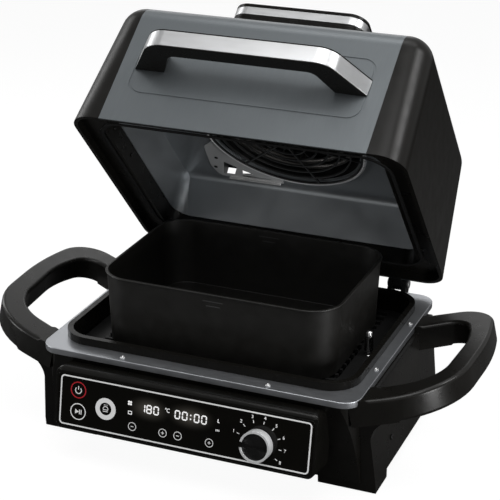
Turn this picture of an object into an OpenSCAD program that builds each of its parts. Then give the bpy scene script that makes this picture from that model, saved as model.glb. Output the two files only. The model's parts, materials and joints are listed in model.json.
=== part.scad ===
// Countertop electric grill and smoker with a hinged hood, a lift-out pot and a touch panel.
// Millimetres, +Z up, +X to the right of someone at the panel, the table at z = 0.

/* [Stance] */
// Height of the rim plate's top face above the table
rim_h = 130; // [124:1:140]
// Angle that the hood stands open
lid_open = 47.5; // [25:0.5:68]

/* [Rim plate] */
// Width of the rim plate
rim_w = 400; // [380:1:420]
// Depth of the rim plate
rim_d = 323; // [310:1:340]
// Corner radius of the rim plate
rim_r = 22; // [14:1:30]
// Height of the rim plate's turned-down edge
rim_skirt = 8; // [6:0.5:12]
// Sheet thickness of the rim plate
rim_t = 2; // [1.5:0.1:3]
// Radius of a rim screw's head
rim_screw_r = 3.2; // [2.5:0.1:4]
// Height of a rim screw's head
rim_screw_h = 1.8; // [1:0.1:2]

/* [Well] */
// Width of the raised collar round the well
collar_w = 374; // [360:1:380]
// Width of the rim plate's band in front of and behind the collar
rim_band = 20.5; // [17:0.5:26]
// Corner radius of the collar
collar_r = 38; // [30:1:46]
// Height of the collar above the rim plate
collar_rise = 10; // [6:0.5:10]
// Thickness of the collar
collar_t = 6; // [4:0.5:8]
// Depth of the well below the rim plate
well_depth = 52; // [46:1:60]
// Wall of the well
well_wall = 2; // [1.5:0.1:3]

/* [Grill plate and elements] */
// Depth of the grill plate's top below the rim plate
plate_drop = 16; // [14:0.5:22]
// Thickness of the grill plate
plate_t = 4; // [3:0.5:6]
// Height of a grill rib
rib_h = 4; // [2:0.5:5]
// Width of a grill rib
rib_w = 4; // [3:0.5:6]
// Spacing of the grill ribs
rib_pitch = 14.5; // [12:0.5:20]
// Radius of a heating tube
tube_r = 3.5; // [3:0.1:4]
// Width of the lower heating loop
loop_w = 290; // [240:5:310]
// Depth of the lower heating loop
loop_d = 190; // [150:5:210]
// Bend radius of the lower heating loop
loop_r = 40; // [25:1:60]
// Gap between the ends of the lower heating loop
loop_gap = 44; // [30:1:80]
// Radius of the temperature probe
probe_r = 3.8; // [2.5:0.1:4]
// Height of the probe's tip above the rim plate
probe_rise = 15; // [4:0.5:18]
// Where the probe stands between the pot and the well's wall, as a share of that gap
probe_share = 0.4; // [0.35:0.05:0.6]

/* [Pot] */
// Width of the pot at its mouth
pot_w = 300; // [280:1:304]
// Depth of the pot at its mouth
pot_d = 213; // [190:1:220]
// Corner radius of the pot at its mouth
pot_r = 38; // [30:1:50]
// Height of the pot's mouth above the rim plate
pot_rise = 78; // [60:1:80]
// How far each side of the pot draws in towards its floor
pot_draft = 4; // [2:0.5:8]
// Wall of the pot
pot_wall = 2; // [1.5:0.1:3]
// Width of the bead round the pot's mouth
pot_bead = 1.6; // [1:0.1:2]

/* [Body and legs] */
// Wall of the body housing
body_wall = 3; // [2:0.1:4]
// How far the body's front leans back towards the floor
body_lean = 29; // [20:1:36]
// Corner radius of the body
body_r = 30; // [20:1:36]
// Clearance under the body between the legs
body_clear = 13; // [9:0.5:16]
// How far the side cheeks stand out at the bottom
cheek_flare = 18.5; // [14:0.5:22]
// How far the side cheeks stand out at the top
cheek_top = 8; // [6:0.5:10]
// Length of a side cheek
cheek_l = 252; // [230:1:270]
// Width of a leg's foot
leg_w = 71; // [50:1:90]
// Length of a leg's foot
leg_l = 42; // [30:1:60]
// Height of the rubber pads
pad_h = 1.6; // [1:0.1:3]

/* [Side handles] */
// Reach of a side handle from the middle plane
handle_reach = 307; // [290:1:314]
// Height of the handle's band
handle_h = 31; // [26:1:38]
// Upward tilt of the handle
handle_tilt = 12.9; // [5:0.1:15]
// Width of the handle's grip
grip_w = 27; // [16:1:32]

/* [Control panel] */
// Tilt of the panel's face
panel_tilt = 10.85; // [6:0.05:16]
// Width of the glass
glass_w = 322; // [310:1:328]
// Height of the glass
glass_h = 66; // [60:1:70]
// Thickness of the glass
glass_t = 2; // [1.5:0.1:3]
// Radius of the knob
knob_r = 18.4; // [14:0.1:22]
// Height of the knob above the glass
knob_h = 13; // [9:0.5:16]
// Distance of the knob to the right of the panel's middle
knob_x = 95.5; // [85:0.5:110]
// Distance of the knob below the panel's middle
knob_drop = 6.6; // [0:0.1:9]

/* [Hood] */
// Width of the hood
lid_w = 420; // [410:1:424]
// Height of the hood's top above the rim plate
lid_h = 183; // [176:1:188]
// Wall of the hood's outer shells
lid_wall = 2; // [1.5:0.1:3]
// How far each side of the hood draws in towards its top
lid_draft = 11; // [8:0.5:20]
// Radius of the hood's front top edge
lid_front_r = 32; // [20:1:36]
// Radius of the hood's rear top edge
lid_rear_r = 30; // [20:1:40]
// Width of the metal cover between the side shells
cover_w = 334; // [300:1:340]
// Height of the black frame inside the hood's mouth
frame_rise = 34; // [24:1:40]
// Width of the hood's mouth
mouth_w = 354; // [340:1:360]
// Height of the liner's ceiling above the rim plate
ceiling_h = 96; // [94:0.5:100]
// Thickness of the liner sheet
liner_t = 1.2; // [0.8:0.1:2]

/* [Fan] */
// Radius of the fan guard's bright ring
guard_r = 106; // [100:0.5:108]
// Radius of the fan wheel
fan_r = 60; // [45:1:64]
// Height of the fan blades
blade_h = 20; // [12:1:22]
// Number of fan blades
blades = 10; // [6:1:14]

/* [Hood handle] */
// Length of the handle's straight grip
grip_l = 222; // [160:1:240]
// How far the handle stands out from the hood
grip_out = 61; // [50:1:66]
// Height of the handle
grip_h = 24; // [20:0.5:28]
// Thickness of the handle
grip_t = 21; // [16:0.5:24]
// Thickness of the bright band on the handle
band_t = 2.5; // [2:0.1:4]

/* [Smoke box] */
// Width of the smoke box
smoke_w = 178; // [150:1:184]
// Depth of the smoke box
smoke_d = 106; // [90:1:112]
// Height of the smoke box body
smoke_h = 28; // [24:1:34]
// Height of the smoke box hatch
hatch_h = 26; // [22:0.5:28]

/* [Hidden] */
$fn = 64;

// Gap between pieces that seat on each other
seat = 0.05;
// Gap between pieces that move past each other
run_gap = 0.4;
// Overshoot of a cut past the face that it opens
over = 1;

rim_z = rim_h;
collar_z = rim_z + collar_rise;
collar_d = rim_d - 2 * rim_band;
well_w = collar_w - 2 * collar_t + 2;
well_d = collar_d - 2 * collar_t + 2;
well_r = collar_r - collar_t + 1;
well_floor = rim_z - well_depth + well_wall;
probe_x = pot_w / 2 + probe_share * (well_w / 2 - well_wall - pot_w / 2);
plate_top = rim_z - plate_drop;
plate_w = well_w - 2 * well_wall - 4;
plate_d = well_d - 2 * well_wall - 4;
plate_r = well_r - well_wall - 2;
pot_z = plate_top + rib_h;
pot_h = rim_z + pot_rise - pot_z;
loop_z = (well_floor + plate_top - plate_t) / 2;
rib_n = floor((plate_d / 2 - plate_r / 2) / rib_pitch);

body_w = rim_w - 2 * rim_t - 1;
body_d = rim_d - 2 * rim_t - 1;
body_top = rim_z - rim_t - seat;
body_rear = body_d / 2 - 2;
cheek_in = body_w / 2 + seat;
pad_r = 9;

panel_y = -(rim_d / 2 + 28.3);
panel_z = rim_z - 49.2;
panel_mid = 2.5;
panel_w = glass_w + 6;
panel_hh = glass_h + 10;
pocket_w = glass_w - 24;
pocket_h = glass_h - 12;
board_out = -12;
board_t = 1.6;
shaft_r = 3;
shaft_fit = 0.05;

lid_z0 = rim_z + 2.6;
lid_top = rim_z + lid_h;
lid_front = -(rim_d / 2 + 3.5);
lid_front_in = 14;
lid_front_top = lid_front + lid_front_in;
lid_rear = rim_d / 2 + 4.5;
lid_rear_in = 24;
lid_rear_top = lid_rear - lid_rear_in;
lid_d = lid_rear - lid_front;
lid_y = (lid_rear + lid_front) / 2;
lid_plan_r = 32;
frame_z = collar_z + 2.1;
frame_t = 3;
frame_top = rim_z + 2.6 + frame_rise;
mouth_front = lid_front + 15;
mouth_rear = lid_rear - 20;
mouth_d = mouth_rear - mouth_front;
mouth_y = (mouth_rear + mouth_front) / 2;
mouth_r = 30;
ceiling_z = rim_z + ceiling_h;
hinge_y = rim_d / 2 + 18;
hinge_z = rim_z + 3.2;
hinge_x = 144;
knuckle_r = 9;
pin_r = 4;
ear_w = 6;
arm_w = 11.6;
fan_y = 4;
can_r = guard_r - 5;
can_top = ceiling_z + liner_t + 37;
smoke_y = -30;
smoke_z = lid_top + seat;
smoke_r = 22;
hatch_z = smoke_z + smoke_h + run_gap;
hatch_axis_y = smoke_y + smoke_d / 2 + 4.5;
hatch_axis_z = hatch_z;
hatch_lug_x = 62;
grip_z = rim_z + 90;

// Furthest points of the whole object to the front and to the rear, as it stands
front_reach = panel_y + sin(panel_tilt) * (-knob_drop - knob_r) - cos(panel_tilt) * knob_h;
front_corner = corner_centre(
    [lid_front, lid_z0], [lid_front_top, lid_top], [lid_rear_top, lid_top], lid_front_r);
rear_corner = corner_centre(
    [lid_front_top, lid_top], [lid_rear_top, lid_top], [lid_rear, lid_z0], lid_rear_r);
rear_reach = lid_rear_r + hinge_y + cos(lid_open) * (rear_corner[0] - hinge_y)
    + sin(lid_open) * (rear_corner[1] - hinge_z);
mid_y = (front_reach + rear_reach) / 2;

function unit(v) = v / norm(v);
function half_angle(a, b, c) = acos(unit(a - b) * unit(c - b)) / 2;
function corner_centre(a, b, c, r) = b + unit(unit(a - b) + unit(c - b)) * r / sin(half_angle(a, b, c));
function flat(p) = [p[0], p[1]];

// Points of a corner's rounding; c holds the corner's neighbours, itself in the middle, and its radius
arc_n = 12;
function arc_points(c) = c[3] == 0 ? [c[1]] :
    let (o = corner_centre(c[0], c[1], c[2], c[3]),
        t = c[3] / tan(half_angle(c[0], c[1], c[2])),
        p = c[1] + unit(c[0] - c[1]) * t - o,
        q = c[1] + unit(c[2] - c[1]) * t - o,
        a = atan2(p[1], p[0]),
        d = atan2(q[1], q[0]) - a,
        turn = d > 180 ? d - 360 : d < -180 ? d + 360 : d)
    [for (i = [0 : arc_n]) o + c[3] * [cos(a + turn * i / arc_n), sin(a + turn * i / arc_n)]];

// Convex outline through points [x, y, radius]
module rounded_poly(pts) {
    n = len(pts);
    polygon([for (i = [0 : n - 1]) each arc_points(
        [flat(pts[(i + n - 1) % n]), flat(pts[i]), flat(pts[(i + 1) % n]), pts[i][2]])]);
}

// Rectangle with rounded corners, centred
module round_rect(w, d, r) {
    square([w - 2 * r, d], center = true);
    square([w, d - 2 * r], center = true);
    for (x = [-1, 1], y = [-1, 1]) translate([x * (w / 2 - r), y * (d / 2 - r)]) circle(r);
}

// Plate of a rounded rectangle between two heights
module slab(w, d, r, z0, z1) {
    translate([0, 0, z0]) linear_extrude(z1 - z0) round_rect(w, d, r);
}

// Outline in Y and Z, drawn out along X
module along_x(w) {
    rotate([90, 0, 90]) linear_extrude(w, center = true) children();
}

// Outline in X and Z, drawn out along Y
module along_y(d) {
    rotate([90, 0, 0]) linear_extrude(d, center = true) children();
}

// The whole object's middle lies at the origin
module in_frame() {
    translate([0, -mid_y, 0]) children();
}

// Pieces of the hood are drawn shut and swing open about the hinge
module on_lid() {
    in_frame() translate([0, hinge_y, hinge_z]) rotate([-lid_open, 0, 0])
        translate([0, -hinge_y, -hinge_z]) children();
}

// Panel's own plane: x across, y up the face, z out of the glass
module on_panel() {
    in_frame() translate([0, panel_y, panel_z]) rotate([90 - panel_tilt, 0, 0]) children();
}

// Body: a housing whose front leans back towards the floor
module body_block(inset) {
    intersection() {
        slab(body_w - 2 * inset, body_d - 2 * inset, body_r - inset, 0, body_top);
        along_x(body_w) polygon([
            [-body_d / 2 + inset, body_top], [body_rear - inset, body_top],
            [body_rear - inset, body_clear], [-body_d / 2 + body_lean + inset, body_clear]]);
    }
}

module base_housing() {
    color("#161616") in_frame() difference() {
        body_block(0);
        intersection() {
            body_block(body_wall);
            slab(body_w, body_d, body_r, 0, body_top + over);
        }
        slab(body_w - 2 * body_wall, body_d - 2 * body_wall, body_r - body_wall, body_top - over,
            body_top + over);
        translate([0, -body_d / 2, panel_z]) cube([pocket_w - 40, body_d / 2, pocket_h / 2], center = true);
        translate([inlet_x, body_rear, inlet_z]) cube([inlet_w, 4 * body_wall, inlet_h], center = true);
    }
}

// Floor of the body, with rows of air slots
slot_l = 60;
slot_w = 5;
module base_plate() {
    color("#1c1c1c") in_frame() difference() {
        intersection() {
            body_block(body_wall + seat);
            slab(body_w, body_d, body_r, 0, body_clear + body_wall);
        }
        for (x = [-1, 1], i = [-2 : 2])
            translate([x * body_w / 5, i * 3 * slot_w, body_clear])
                cube([slot_l, slot_w, 4 * body_wall], center = true);
    }
}

module rim_plate() {
    color("#8d9092") in_frame() difference() {
        slab(rim_w, rim_d, rim_r, rim_z - rim_skirt, rim_z);
        slab(rim_w - 2 * rim_t, rim_d - 2 * rim_t, rim_r - rim_t, rim_z - rim_skirt - over, rim_z - rim_t);
        slab(well_w + 2 * seat, well_d + 2 * seat, well_r, rim_z - rim_skirt, rim_z + over);
    }
}

rim_screw_x = rim_w / 2 - 7;
rim_screw_y = rim_d / 2 - 8;
module rim_screws() {
    color("#d8d8d8") in_frame() {
        for (x = [-1, 1], y = [-1, 1]) {
            translate([x * rim_w * 0.23, y * rim_screw_y, rim_z + seat])
                cylinder(r = rim_screw_r, h = rim_screw_h);
            translate([x * rim_screw_x, y * rim_d * 0.21, rim_z + seat])
                cylinder(r = rim_screw_r, h = rim_screw_h);
        }
    }
}

// Enamelled well: a tub that hangs in the rim plate by its raised collar
module inner_well() {
    color("#101010") in_frame() difference() {
        union() {
            slab(collar_w, collar_d, collar_r, rim_z + seat, collar_z);
            slab(well_w, well_d, well_r, rim_z - well_depth, rim_z + over);
        }
        slab(well_w - 2 * well_wall, well_d - 2 * well_wall, well_r - well_wall, well_floor,
            collar_z + over);
        for (x = [-1, 1]) translate([x * loop_gap / 2, loop_d / 2, well_floor - 2 * well_wall])
            cylinder(r = tube_r + 1, h = 4 * well_wall);
        translate([probe_x, 0, well_floor - 2 * well_wall]) cylinder(r = probe_r + seat, h = 4 * well_wall);
    }
}

// Ribbed plate that the pot stands on
module grill_plate() {
    color("#181818") in_frame() difference() {
        union() {
            slab(plate_w, plate_d, plate_r, plate_top - plate_t, plate_top);
            for (i = [-rib_n : rib_n])
                translate([0, i * rib_pitch, plate_top + rib_h / 2])
                    cube([plate_w - 2 * plate_r, rib_w, rib_h], center = true);
        }
        translate([probe_x, 0, plate_top - 2 * plate_t]) cylinder(r = probe_r + 1, h = 4 * plate_t);
    }
}

post_r = 5;
module plate_posts() {
    color("#2a2a2a") in_frame()
        for (x = [-1, 1], y = [-1, 1])
            translate([x * (plate_w / 2 - plate_r), y * (plate_d / 2 - 2 * post_r), well_floor + seat])
                cylinder(r = post_r, h = plate_top - plate_t - well_floor - 2 * seat);
}

// Quarter bend of a heating tube about a vertical axis
module tube_bend(r, from) {
    rotate([0, 0, from]) rotate_extrude(angle = 90) translate([r, 0]) circle(tube_r);
}

module tube_run(p, length, turn) {
    translate(p) rotate([0, 90, turn]) cylinder(r = tube_r, h = length);
}

// Open loop of heating tube, with its ends turned down through the well's floor
module lower_heating_element() {
    sx = loop_w / 2 - loop_r;
    sy = loop_d / 2 - loop_r;
    rear_run = sx - loop_gap / 2;
    color("#4a4542") in_frame() translate([0, 0, loop_z]) {
        for (i = [0 : 3])
            translate([(i == 0 || i == 3 ? 1 : -1) * sx, (i < 2 ? 1 : -1) * sy, 0])
                tube_bend(loop_r, 90 * i);
        tube_run([-sx, -loop_d / 2, 0], 2 * sx, 0);
        for (x = [-1, 1]) {
            tube_run([x * loop_w / 2, -sy, 0], 2 * sy, 90);
            tube_run([x > 0 ? loop_gap / 2 : -sx, loop_d / 2, 0], rear_run, 0);
            translate([x * loop_gap / 2, loop_d / 2, 0]) sphere(tube_r);
            translate([x * loop_gap / 2, loop_d / 2, rim_z - well_depth - loop_z - 12])
                cylinder(r = tube_r, h = loop_z - rim_z + well_depth + 12);
        }
    }
}

rest_w = 8;
module element_rests() {
    color("#77736c") in_frame()
        for (x = [-1, 1], y = [-1, 1])
            translate([x * loop_w / 4 - rest_w / 2, y * loop_d / 2 - rest_w, well_floor + seat])
                cube([rest_w, 2 * rest_w, loop_z - tube_r - well_floor - 2 * seat]);
}

module temperature_probe() {
    tip = 5;
    color("#c9c9c9") in_frame() translate([probe_x, 0, 0]) {
        translate([0, 0, rim_z - well_depth - 6])
            cylinder(r = probe_r, h = well_depth + 6 + probe_rise - tip);
        translate([0, 0, rim_z - well_depth - 6]) cylinder(r = probe_r + 2, h = 6 - seat);
        translate([0, 0, rim_z + probe_rise - tip]) cylinder(r1 = probe_r, r2 = probe_r - 1, h = tip);
    }
}

// Pot: walls that draw in towards the floor, and a beaded mouth
module pot_form(w, d, r, draft, z0, z1) {
    hull()
        for (x = [-1, 1], y = [-1, 1])
            translate([x * (w / 2 - r), y * (d / 2 - r), z0])
                cylinder(r1 = r - draft, r2 = r, h = z1 - z0, $fn = 48);
}

module cooking_pot() {
    top = pot_z + pot_h;
    color("#151515") in_frame() translate([0, 1.5, 0]) difference() {
        union() {
            pot_form(pot_w, pot_d, pot_r, pot_draft, pot_z + seat, top);
            slab(pot_w + 2 * pot_bead, pot_d + 2 * pot_bead, pot_r + pot_bead, top - 2.5, top);
        }
        pot_form(pot_w - 2 * pot_wall, pot_d - 2 * pot_wall, pot_r - pot_wall, pot_draft,
            pot_z + 1.5 * pot_wall, top + over);
    }
}

// Side cheek with two legs and the carrying handle in one moulding, drawn for the right-hand side
handle_root = cheek_in - 12;
handle_front = -(cheek_l / 2 + 25.5);
handle_rear = cheek_l / 2 - 29.5;
handle_front_turn = 23;
handle_rear_turn = 24.5;
handle_r = cheek_l * [0.39, 1.43, 0.175];
handle_hole_r = cheek_l * [0.24, 0.55, 0.095];
handle_bow = [8, 18];
handle_bow_y = cheek_l * 0.103;
handle_top = rim_z - 1.2;
hole_front = 36;
hole_rear = 38;
function handle_outline(inset_front, inset_side, inset_rear, radii) = [
    [handle_root, handle_front + inset_front, 0],
    [handle_reach - inset_side - handle_bow[0], handle_front + handle_front_turn + inset_front, radii[0]],
    [handle_reach - inset_side, handle_bow_y, radii[1]],
    [handle_reach - inset_side - handle_bow[1], handle_rear + handle_rear_turn - inset_rear, radii[2]],
    [handle_root, handle_rear - inset_rear, 0]];

module handle_tilted() {
    translate([cheek_in, 0, handle_top]) rotate([0, -handle_tilt, 0]) translate([-cheek_in, 0, 0]) children();
}

module handle_loop() {
    handle_tilted() translate([0, 0, -handle_h]) linear_extrude(handle_h) difference() {
        rounded_poly(handle_outline(0, 0, 0, handle_r));
        rounded_poly(handle_outline(hole_front, grip_w, hole_rear, handle_hole_r));
    }
}

cheek_end_r = 9;
module cheek_plan() {
    translate([0, 0, pad_h]) linear_extrude(rim_z)
        round_rect(2 * (cheek_in + cheek_flare), cheek_l + 2 * cheek_rake, cheek_end_r);
}

// Cheek seen from the side: its front edge leans forward towards the rim, as the body's front does
cheek_rake = 14;
module cheek_side(top) {
    along_x(4 * handle_reach) polygon([
        [-cheek_l / 2, pad_h], [cheek_l / 2, pad_h], [cheek_l / 2, top], [-cheek_l / 2 - cheek_rake, top]]);
}

// Curved gusset under the front arm of the handle
gusset_r = 34;
module handle_gusset(out) {
    reach = out - cheek_in + gusset_r;
    z = handle_top - 1 + tan(handle_tilt) * reach - handle_h / cos(handle_tilt);
    intersection() {
        along_y(4 * cheek_l) difference() {
            translate([cheek_in, z - gusset_r]) square([reach, gusset_r + handle_h / 3]);
            translate([out + gusset_r, z - gusset_r]) circle(gusset_r);
        }
        handle_tilted() translate([0, 0, -4 * handle_h]) linear_extrude(4 * handle_h - over) difference() {
            rounded_poly(handle_outline(0, 0, 0, handle_r));
            translate([0, handle_front + hole_front]) square([2 * handle_reach, 2 * cheek_l]);
        }
    }
}

module cheek_handle() {
    out_low = cheek_in + cheek_flare;
    out_top = cheek_in + cheek_top;
    top = rim_z - rim_skirt - 1;
    in_low = cheek_in - body_r;
    difference() {
        union() {
            intersection() {
                along_y(2 * cheek_l) polygon([
                    [in_low, body_clear], [out_low, body_clear], [out_top, top], [in_low, top]]);
                cheek_plan();
                cheek_side(top);
            }
            intersection() {
                for (y = [-1, 1])
                    translate([out_low - leg_w, y > 0 ? cheek_l / 2 - leg_l : -cheek_l, pad_h])
                        cube([leg_w, y > 0 ? leg_l : cheek_l / 2 + leg_l, body_clear - pad_h + over]);
                cheek_plan();
                cheek_side(top);
            }
            handle_loop();
            intersection() {
                handle_gusset(cheek_in + cheek_flare - 6);
                cheek_side(top);
            }
        }
        slab(body_w + 2 * seat, body_d + 2 * seat, body_r + seat, body_clear - seat, rim_z);
        slab(rim_w + 2 * run_gap, rim_d + 2 * run_gap, rim_r + run_gap, rim_z - rim_skirt - run_gap,
            2 * rim_z);
    }
}

module left_cheek_handle() {
    color("#141414") in_frame() mirror([1, 0, 0]) cheek_handle();
}

module right_cheek_handle() {
    color("#141414") in_frame() cheek_handle();
}

cheek_screw_ys = [-62, 0, 62];
cheek_screw_r = 3.4;
cheek_screw_rise = 30;
module cheek_screws() {
    slope = (cheek_flare - cheek_top) / (rim_z - rim_skirt - 1 - body_clear);
    out = cheek_in + cheek_flare - slope * (cheek_screw_rise - cheek_screw_r) + seat;
    color("#3a3a3a") in_frame()
        for (x = [-1, 1], y = cheek_screw_ys)
            translate([x * out, y, body_clear + cheek_screw_rise]) rotate([0, x * 90, 0])
                cylinder(r = cheek_screw_r, h = 1.4);
}

module foot_pads() {
    color("#0c0c0c") in_frame()
        for (x = [-1, 1], y = [-1, 1])
            translate([x * (cheek_in + cheek_flare - leg_w / 2), y * (cheek_l - leg_l) / 2, 0])
                cylinder(r = pad_r, h = pad_h - seat);
}

// Panel housing: a shallow box with a recess for the glass and a pocket for the board
panel_depth = 48;
module panel_housing() {
    wall = 3;
    boss_r = 3;
    color("#121212") difference() {
        on_panel() union() {
            difference() {
                translate([0, panel_mid, -panel_depth]) linear_extrude(panel_depth)
                    round_rect(panel_w, panel_hh, 8);
                translate([0, 0, -glass_t - seat]) linear_extrude(glass_t + over)
                    round_rect(glass_w + 4 * seat, glass_h + 4 * seat, 4);
                translate([0, 0, -panel_depth - over]) linear_extrude(panel_depth + over - glass_t - wall)
                    round_rect(pocket_w, pocket_h, 4);
                translate([display_x, display_v, -panel_depth / 2])
                    cube([display_w + 1, display_h + 1, panel_depth], center = true);
                translate([knob_x, -knob_drop, -panel_depth / 2])
                    cylinder(r = shaft_r + 2.5, h = panel_depth);
            }
            for (x = [-1, 1], y = [-1, 1])
                translate([x * (pocket_w / 2 - 8), y * (pocket_h / 2 - 7), board_out + seat])
                    cylinder(r = boss_r, h = -board_out - glass_t - wall + 1);
        }
        in_frame() body_block(-seat);
    }
}

module panel_glass() {
    color("#080808") on_panel() difference() {
        translate([0, 0, -glass_t]) linear_extrude(glass_t) round_rect(glass_w, glass_h, 4);
        translate([knob_x, -knob_drop, -2 * glass_t]) cylinder(r = shaft_r + 2, h = 4 * glass_t);
    }
}

module control_board() {
    color("#1d5b34") on_panel() translate([0, 0, board_out - board_t]) linear_extrude(board_t)
        round_rect(pocket_w - 2, pocket_h - 2, 3);
}

display_x = -5;
display_v = 8;
display_w = 112;
display_h = 18;
module display_module() {
    color("#202020") on_panel()
        translate([display_x - display_w / 2, display_v - display_h / 2, board_out + seat])
        cube([display_w, display_h, -board_out - glass_t - 3 * seat]);
}

module encoder() {
    side = 13;
    color("#9a9a9a") on_panel() translate([knob_x, -knob_drop, 0]) {
        translate([-side / 2, -side / 2, board_out + seat]) cube([side, side, 5]);
        translate([0, 0, board_out + 4]) cylinder(r = shaft_r, h = -board_out - 4 + knob_h - 4);
    }
}

knob_wall = 2.6;
knob_notch = 7;
module knob_ring() {
    color("#c4c6c8") on_panel() translate([knob_x, -knob_drop, 1]) difference() {
        cylinder(r = knob_r, h = knob_h - 1);
        translate([0, 0, -over]) cylinder(r = knob_r - knob_wall, h = knob_h + 2 * over);
        translate([-knob_r, 0, knob_h - 1]) cube([knob_wall * 3, knob_notch, knob_notch], center = true);
    }
}

module knob_cap() {
    color("#2b2b2d") on_panel() translate([knob_x, -knob_drop, 1]) difference() {
        cylinder(r = knob_r - knob_wall - seat, h = knob_h - 2);
        translate([0, 0, -over]) cylinder(r = shaft_r + shaft_fit, h = knob_h - 4 + over);
    }
}

inlet_x = -120;
inlet_z = 52;
inlet_w = 30;
inlet_h = 22;
module power_inlet() {
    color("#0f0f0f") in_frame() translate([inlet_x, body_rear, inlet_z]) {
        difference() {
            union() {
                translate([0, 2 + seat, 0]) cube([inlet_w + 10, 4, inlet_h + 10], center = true);
                translate([0, -8, 0]) cube([inlet_w - 1, 20, inlet_h - 1], center = true);
            }
            cube([inlet_w - 6, 28, inlet_h - 6], center = true);
            translate([0, -16, 0]) cube([inlet_w - 2.5, 4, inlet_h - 2.5], center = true);
        }
        translate([0, -13, 0]) cube([inlet_w - 6, 3, inlet_h - 6], center = true);
        for (x = [-7, 0, 7]) translate([x, -6, 0]) cube([2, 12, 5], center = true);
    }
}

// Hinge: two ears a side on the body, a knuckle on the hood between them, and a pin through all three
ear_drop = 60;
ear_plate_w = 40;
ear_plate_h = 48;
module hinge_ear_outline() {
    translate([hinge_y, hinge_z]) circle(knuckle_r);
    polygon([
        [body_rear + seat, rim_z - ear_drop], [body_rear + 5, rim_z - ear_drop],
        [hinge_y + knuckle_r - 1, hinge_z - 4], [hinge_y - knuckle_r, hinge_z],
        [rim_d / 2 + 1.5, rim_z - rim_skirt - 2], [body_rear + seat, rim_z - rim_skirt - 2]]);
}

module hinge_brackets() {
    color("#2c2c2c") in_frame()
        for (s = [-1, 1]) difference() {
            union() {
                for (e = [-1, 1])
                    translate([s * hinge_x + e * (arm_w + ear_w + 2 * run_gap) / 2, 0, 0]) along_x(ear_w)
                        hinge_ear_outline();
                translate([s * hinge_x - ear_plate_w / 2, body_rear + seat, rim_z - ear_drop])
                    cube([ear_plate_w, 4, ear_plate_h]);
            }
            translate([s * hinge_x, hinge_y, hinge_z]) rotate([0, 90, 0])
                cylinder(r = pin_r, h = 60, center = true);
        }
}

module hinge_pins() {
    pin_l = arm_w + 2 * ear_w + 2 * run_gap;
    color("#b9bcbf") in_frame()
        for (s = [-1, 1]) translate([s * hinge_x, hinge_y, hinge_z]) rotate([0, 90, 0]) {
            cylinder(r = pin_r, h = pin_l + 4, center = true);
            for (e = [-1, 1]) translate([0, 0, e * (pin_l / 2 + 1.2)])
                cylinder(r = pin_r + 1.8, h = 1.6, center = true);
        }
}

// Hood volume: sides that lean in, rounded upright edges and a ball in each top corner
function lid_fore(z) = lid_front + lid_front_in * (z - lid_z0) / (lid_top - lid_z0);
function lid_back(z) = lid_rear - lid_rear_in * (z - lid_z0) / (lid_top - lid_z0);
function lid_side(z) = lid_w / 2 - lid_draft * (z - lid_z0) / (lid_top - lid_z0);
side_lean = atan(lid_draft / (lid_top - lid_z0));
ball_fn = 48;
module lid_balls(c, r, inset) {
    x = lid_side(c[1]) - r / cos(side_lean);
    for (s = [-1, 1]) translate([s * x, c[0], c[1]]) sphere(r - inset, $fn = ball_fn);
}

module lid_block(inset) {
    z0 = lid_z0 - (inset > 0 ? over : 0);
    hull() {
        lid_balls(front_corner, lid_front_r, inset);
        lid_balls(rear_corner, lid_rear_r, inset);
        translate([0, lid_y, 0])
            slab(lid_w - 2 * inset, lid_d - 2 * inset, lid_plan_r - inset, z0, z0 + seat, $fn = ball_fn);
    }
}

// Hood's side profile, drawn out along X
module lid_profile(inset) {
    along_x(lid_w) rounded_poly([
        [lid_fore(lid_z0 - over) + inset, lid_z0 - over, 0],
        [lid_front_top + inset, lid_top - inset, lid_front_r - inset],
        [lid_rear_top - inset, lid_top - inset, lid_rear_r - inset],
        [lid_back(lid_z0 - over) - inset, lid_z0 - over, 0]]);
}

module lid_shell() {
    difference() {
        lid_block(0);
        lid_block(lid_wall);
    }
}

// Cover sheet bent over the front, top and rear, with a raised-edge field round the handle
field_w = 296;
field_h = 88;
field_r = 19;
field_z = rim_z + 87;
groove_w = 3.4;
groove_t = 0.9;
front_lean = atan((lid_front_top - lid_front) / (lid_top - lid_z0));
vent_x = -96;
vent_w = 60;
vent_h = 22;
vent_rise = 14;
module lid_cover() {
    color("#565a5d") on_lid() difference() {
        intersection() {
            lid_shell();
            translate([-cover_w / 2, -lid_d, 0]) cube([cover_w, 2 * lid_d, 2 * lid_top]);
        }
        translate([0, lid_front, lid_z0]) rotate([90 - front_lean, 0, 0])
            translate([0, (field_z - lid_z0) / cos(front_lean), -groove_t]) linear_extrude(over + groove_t)
                difference() {
                    round_rect(field_w, field_h, field_r);
                    round_rect(field_w - 2 * groove_w, field_h - 2 * groove_w, field_r - groove_w);
                }
        translate([vent_x, lid_back(ceiling_z + vent_rise), ceiling_z + vent_rise])
            cube([vent_w, 10 * lid_wall, vent_h], center = true);
        for (i = [-1 : 1]) translate([0, smoke_y + 16 * i, lid_top])
            cube([40, 6, 6 * lid_wall], center = true);
    }
}

module lid_side_shell() {
    intersection() {
        lid_shell();
        translate([cover_w / 2 + 2 * seat, -lid_d, 0]) cube([lid_w, 2 * lid_d, 2 * lid_top]);
    }
}

module lid_left_shell() {
    color("#131313") on_lid() mirror([1, 0, 0]) lid_side_shell();
}

module lid_right_shell() {
    color("#131313") on_lid() lid_side_shell();
}

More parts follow.
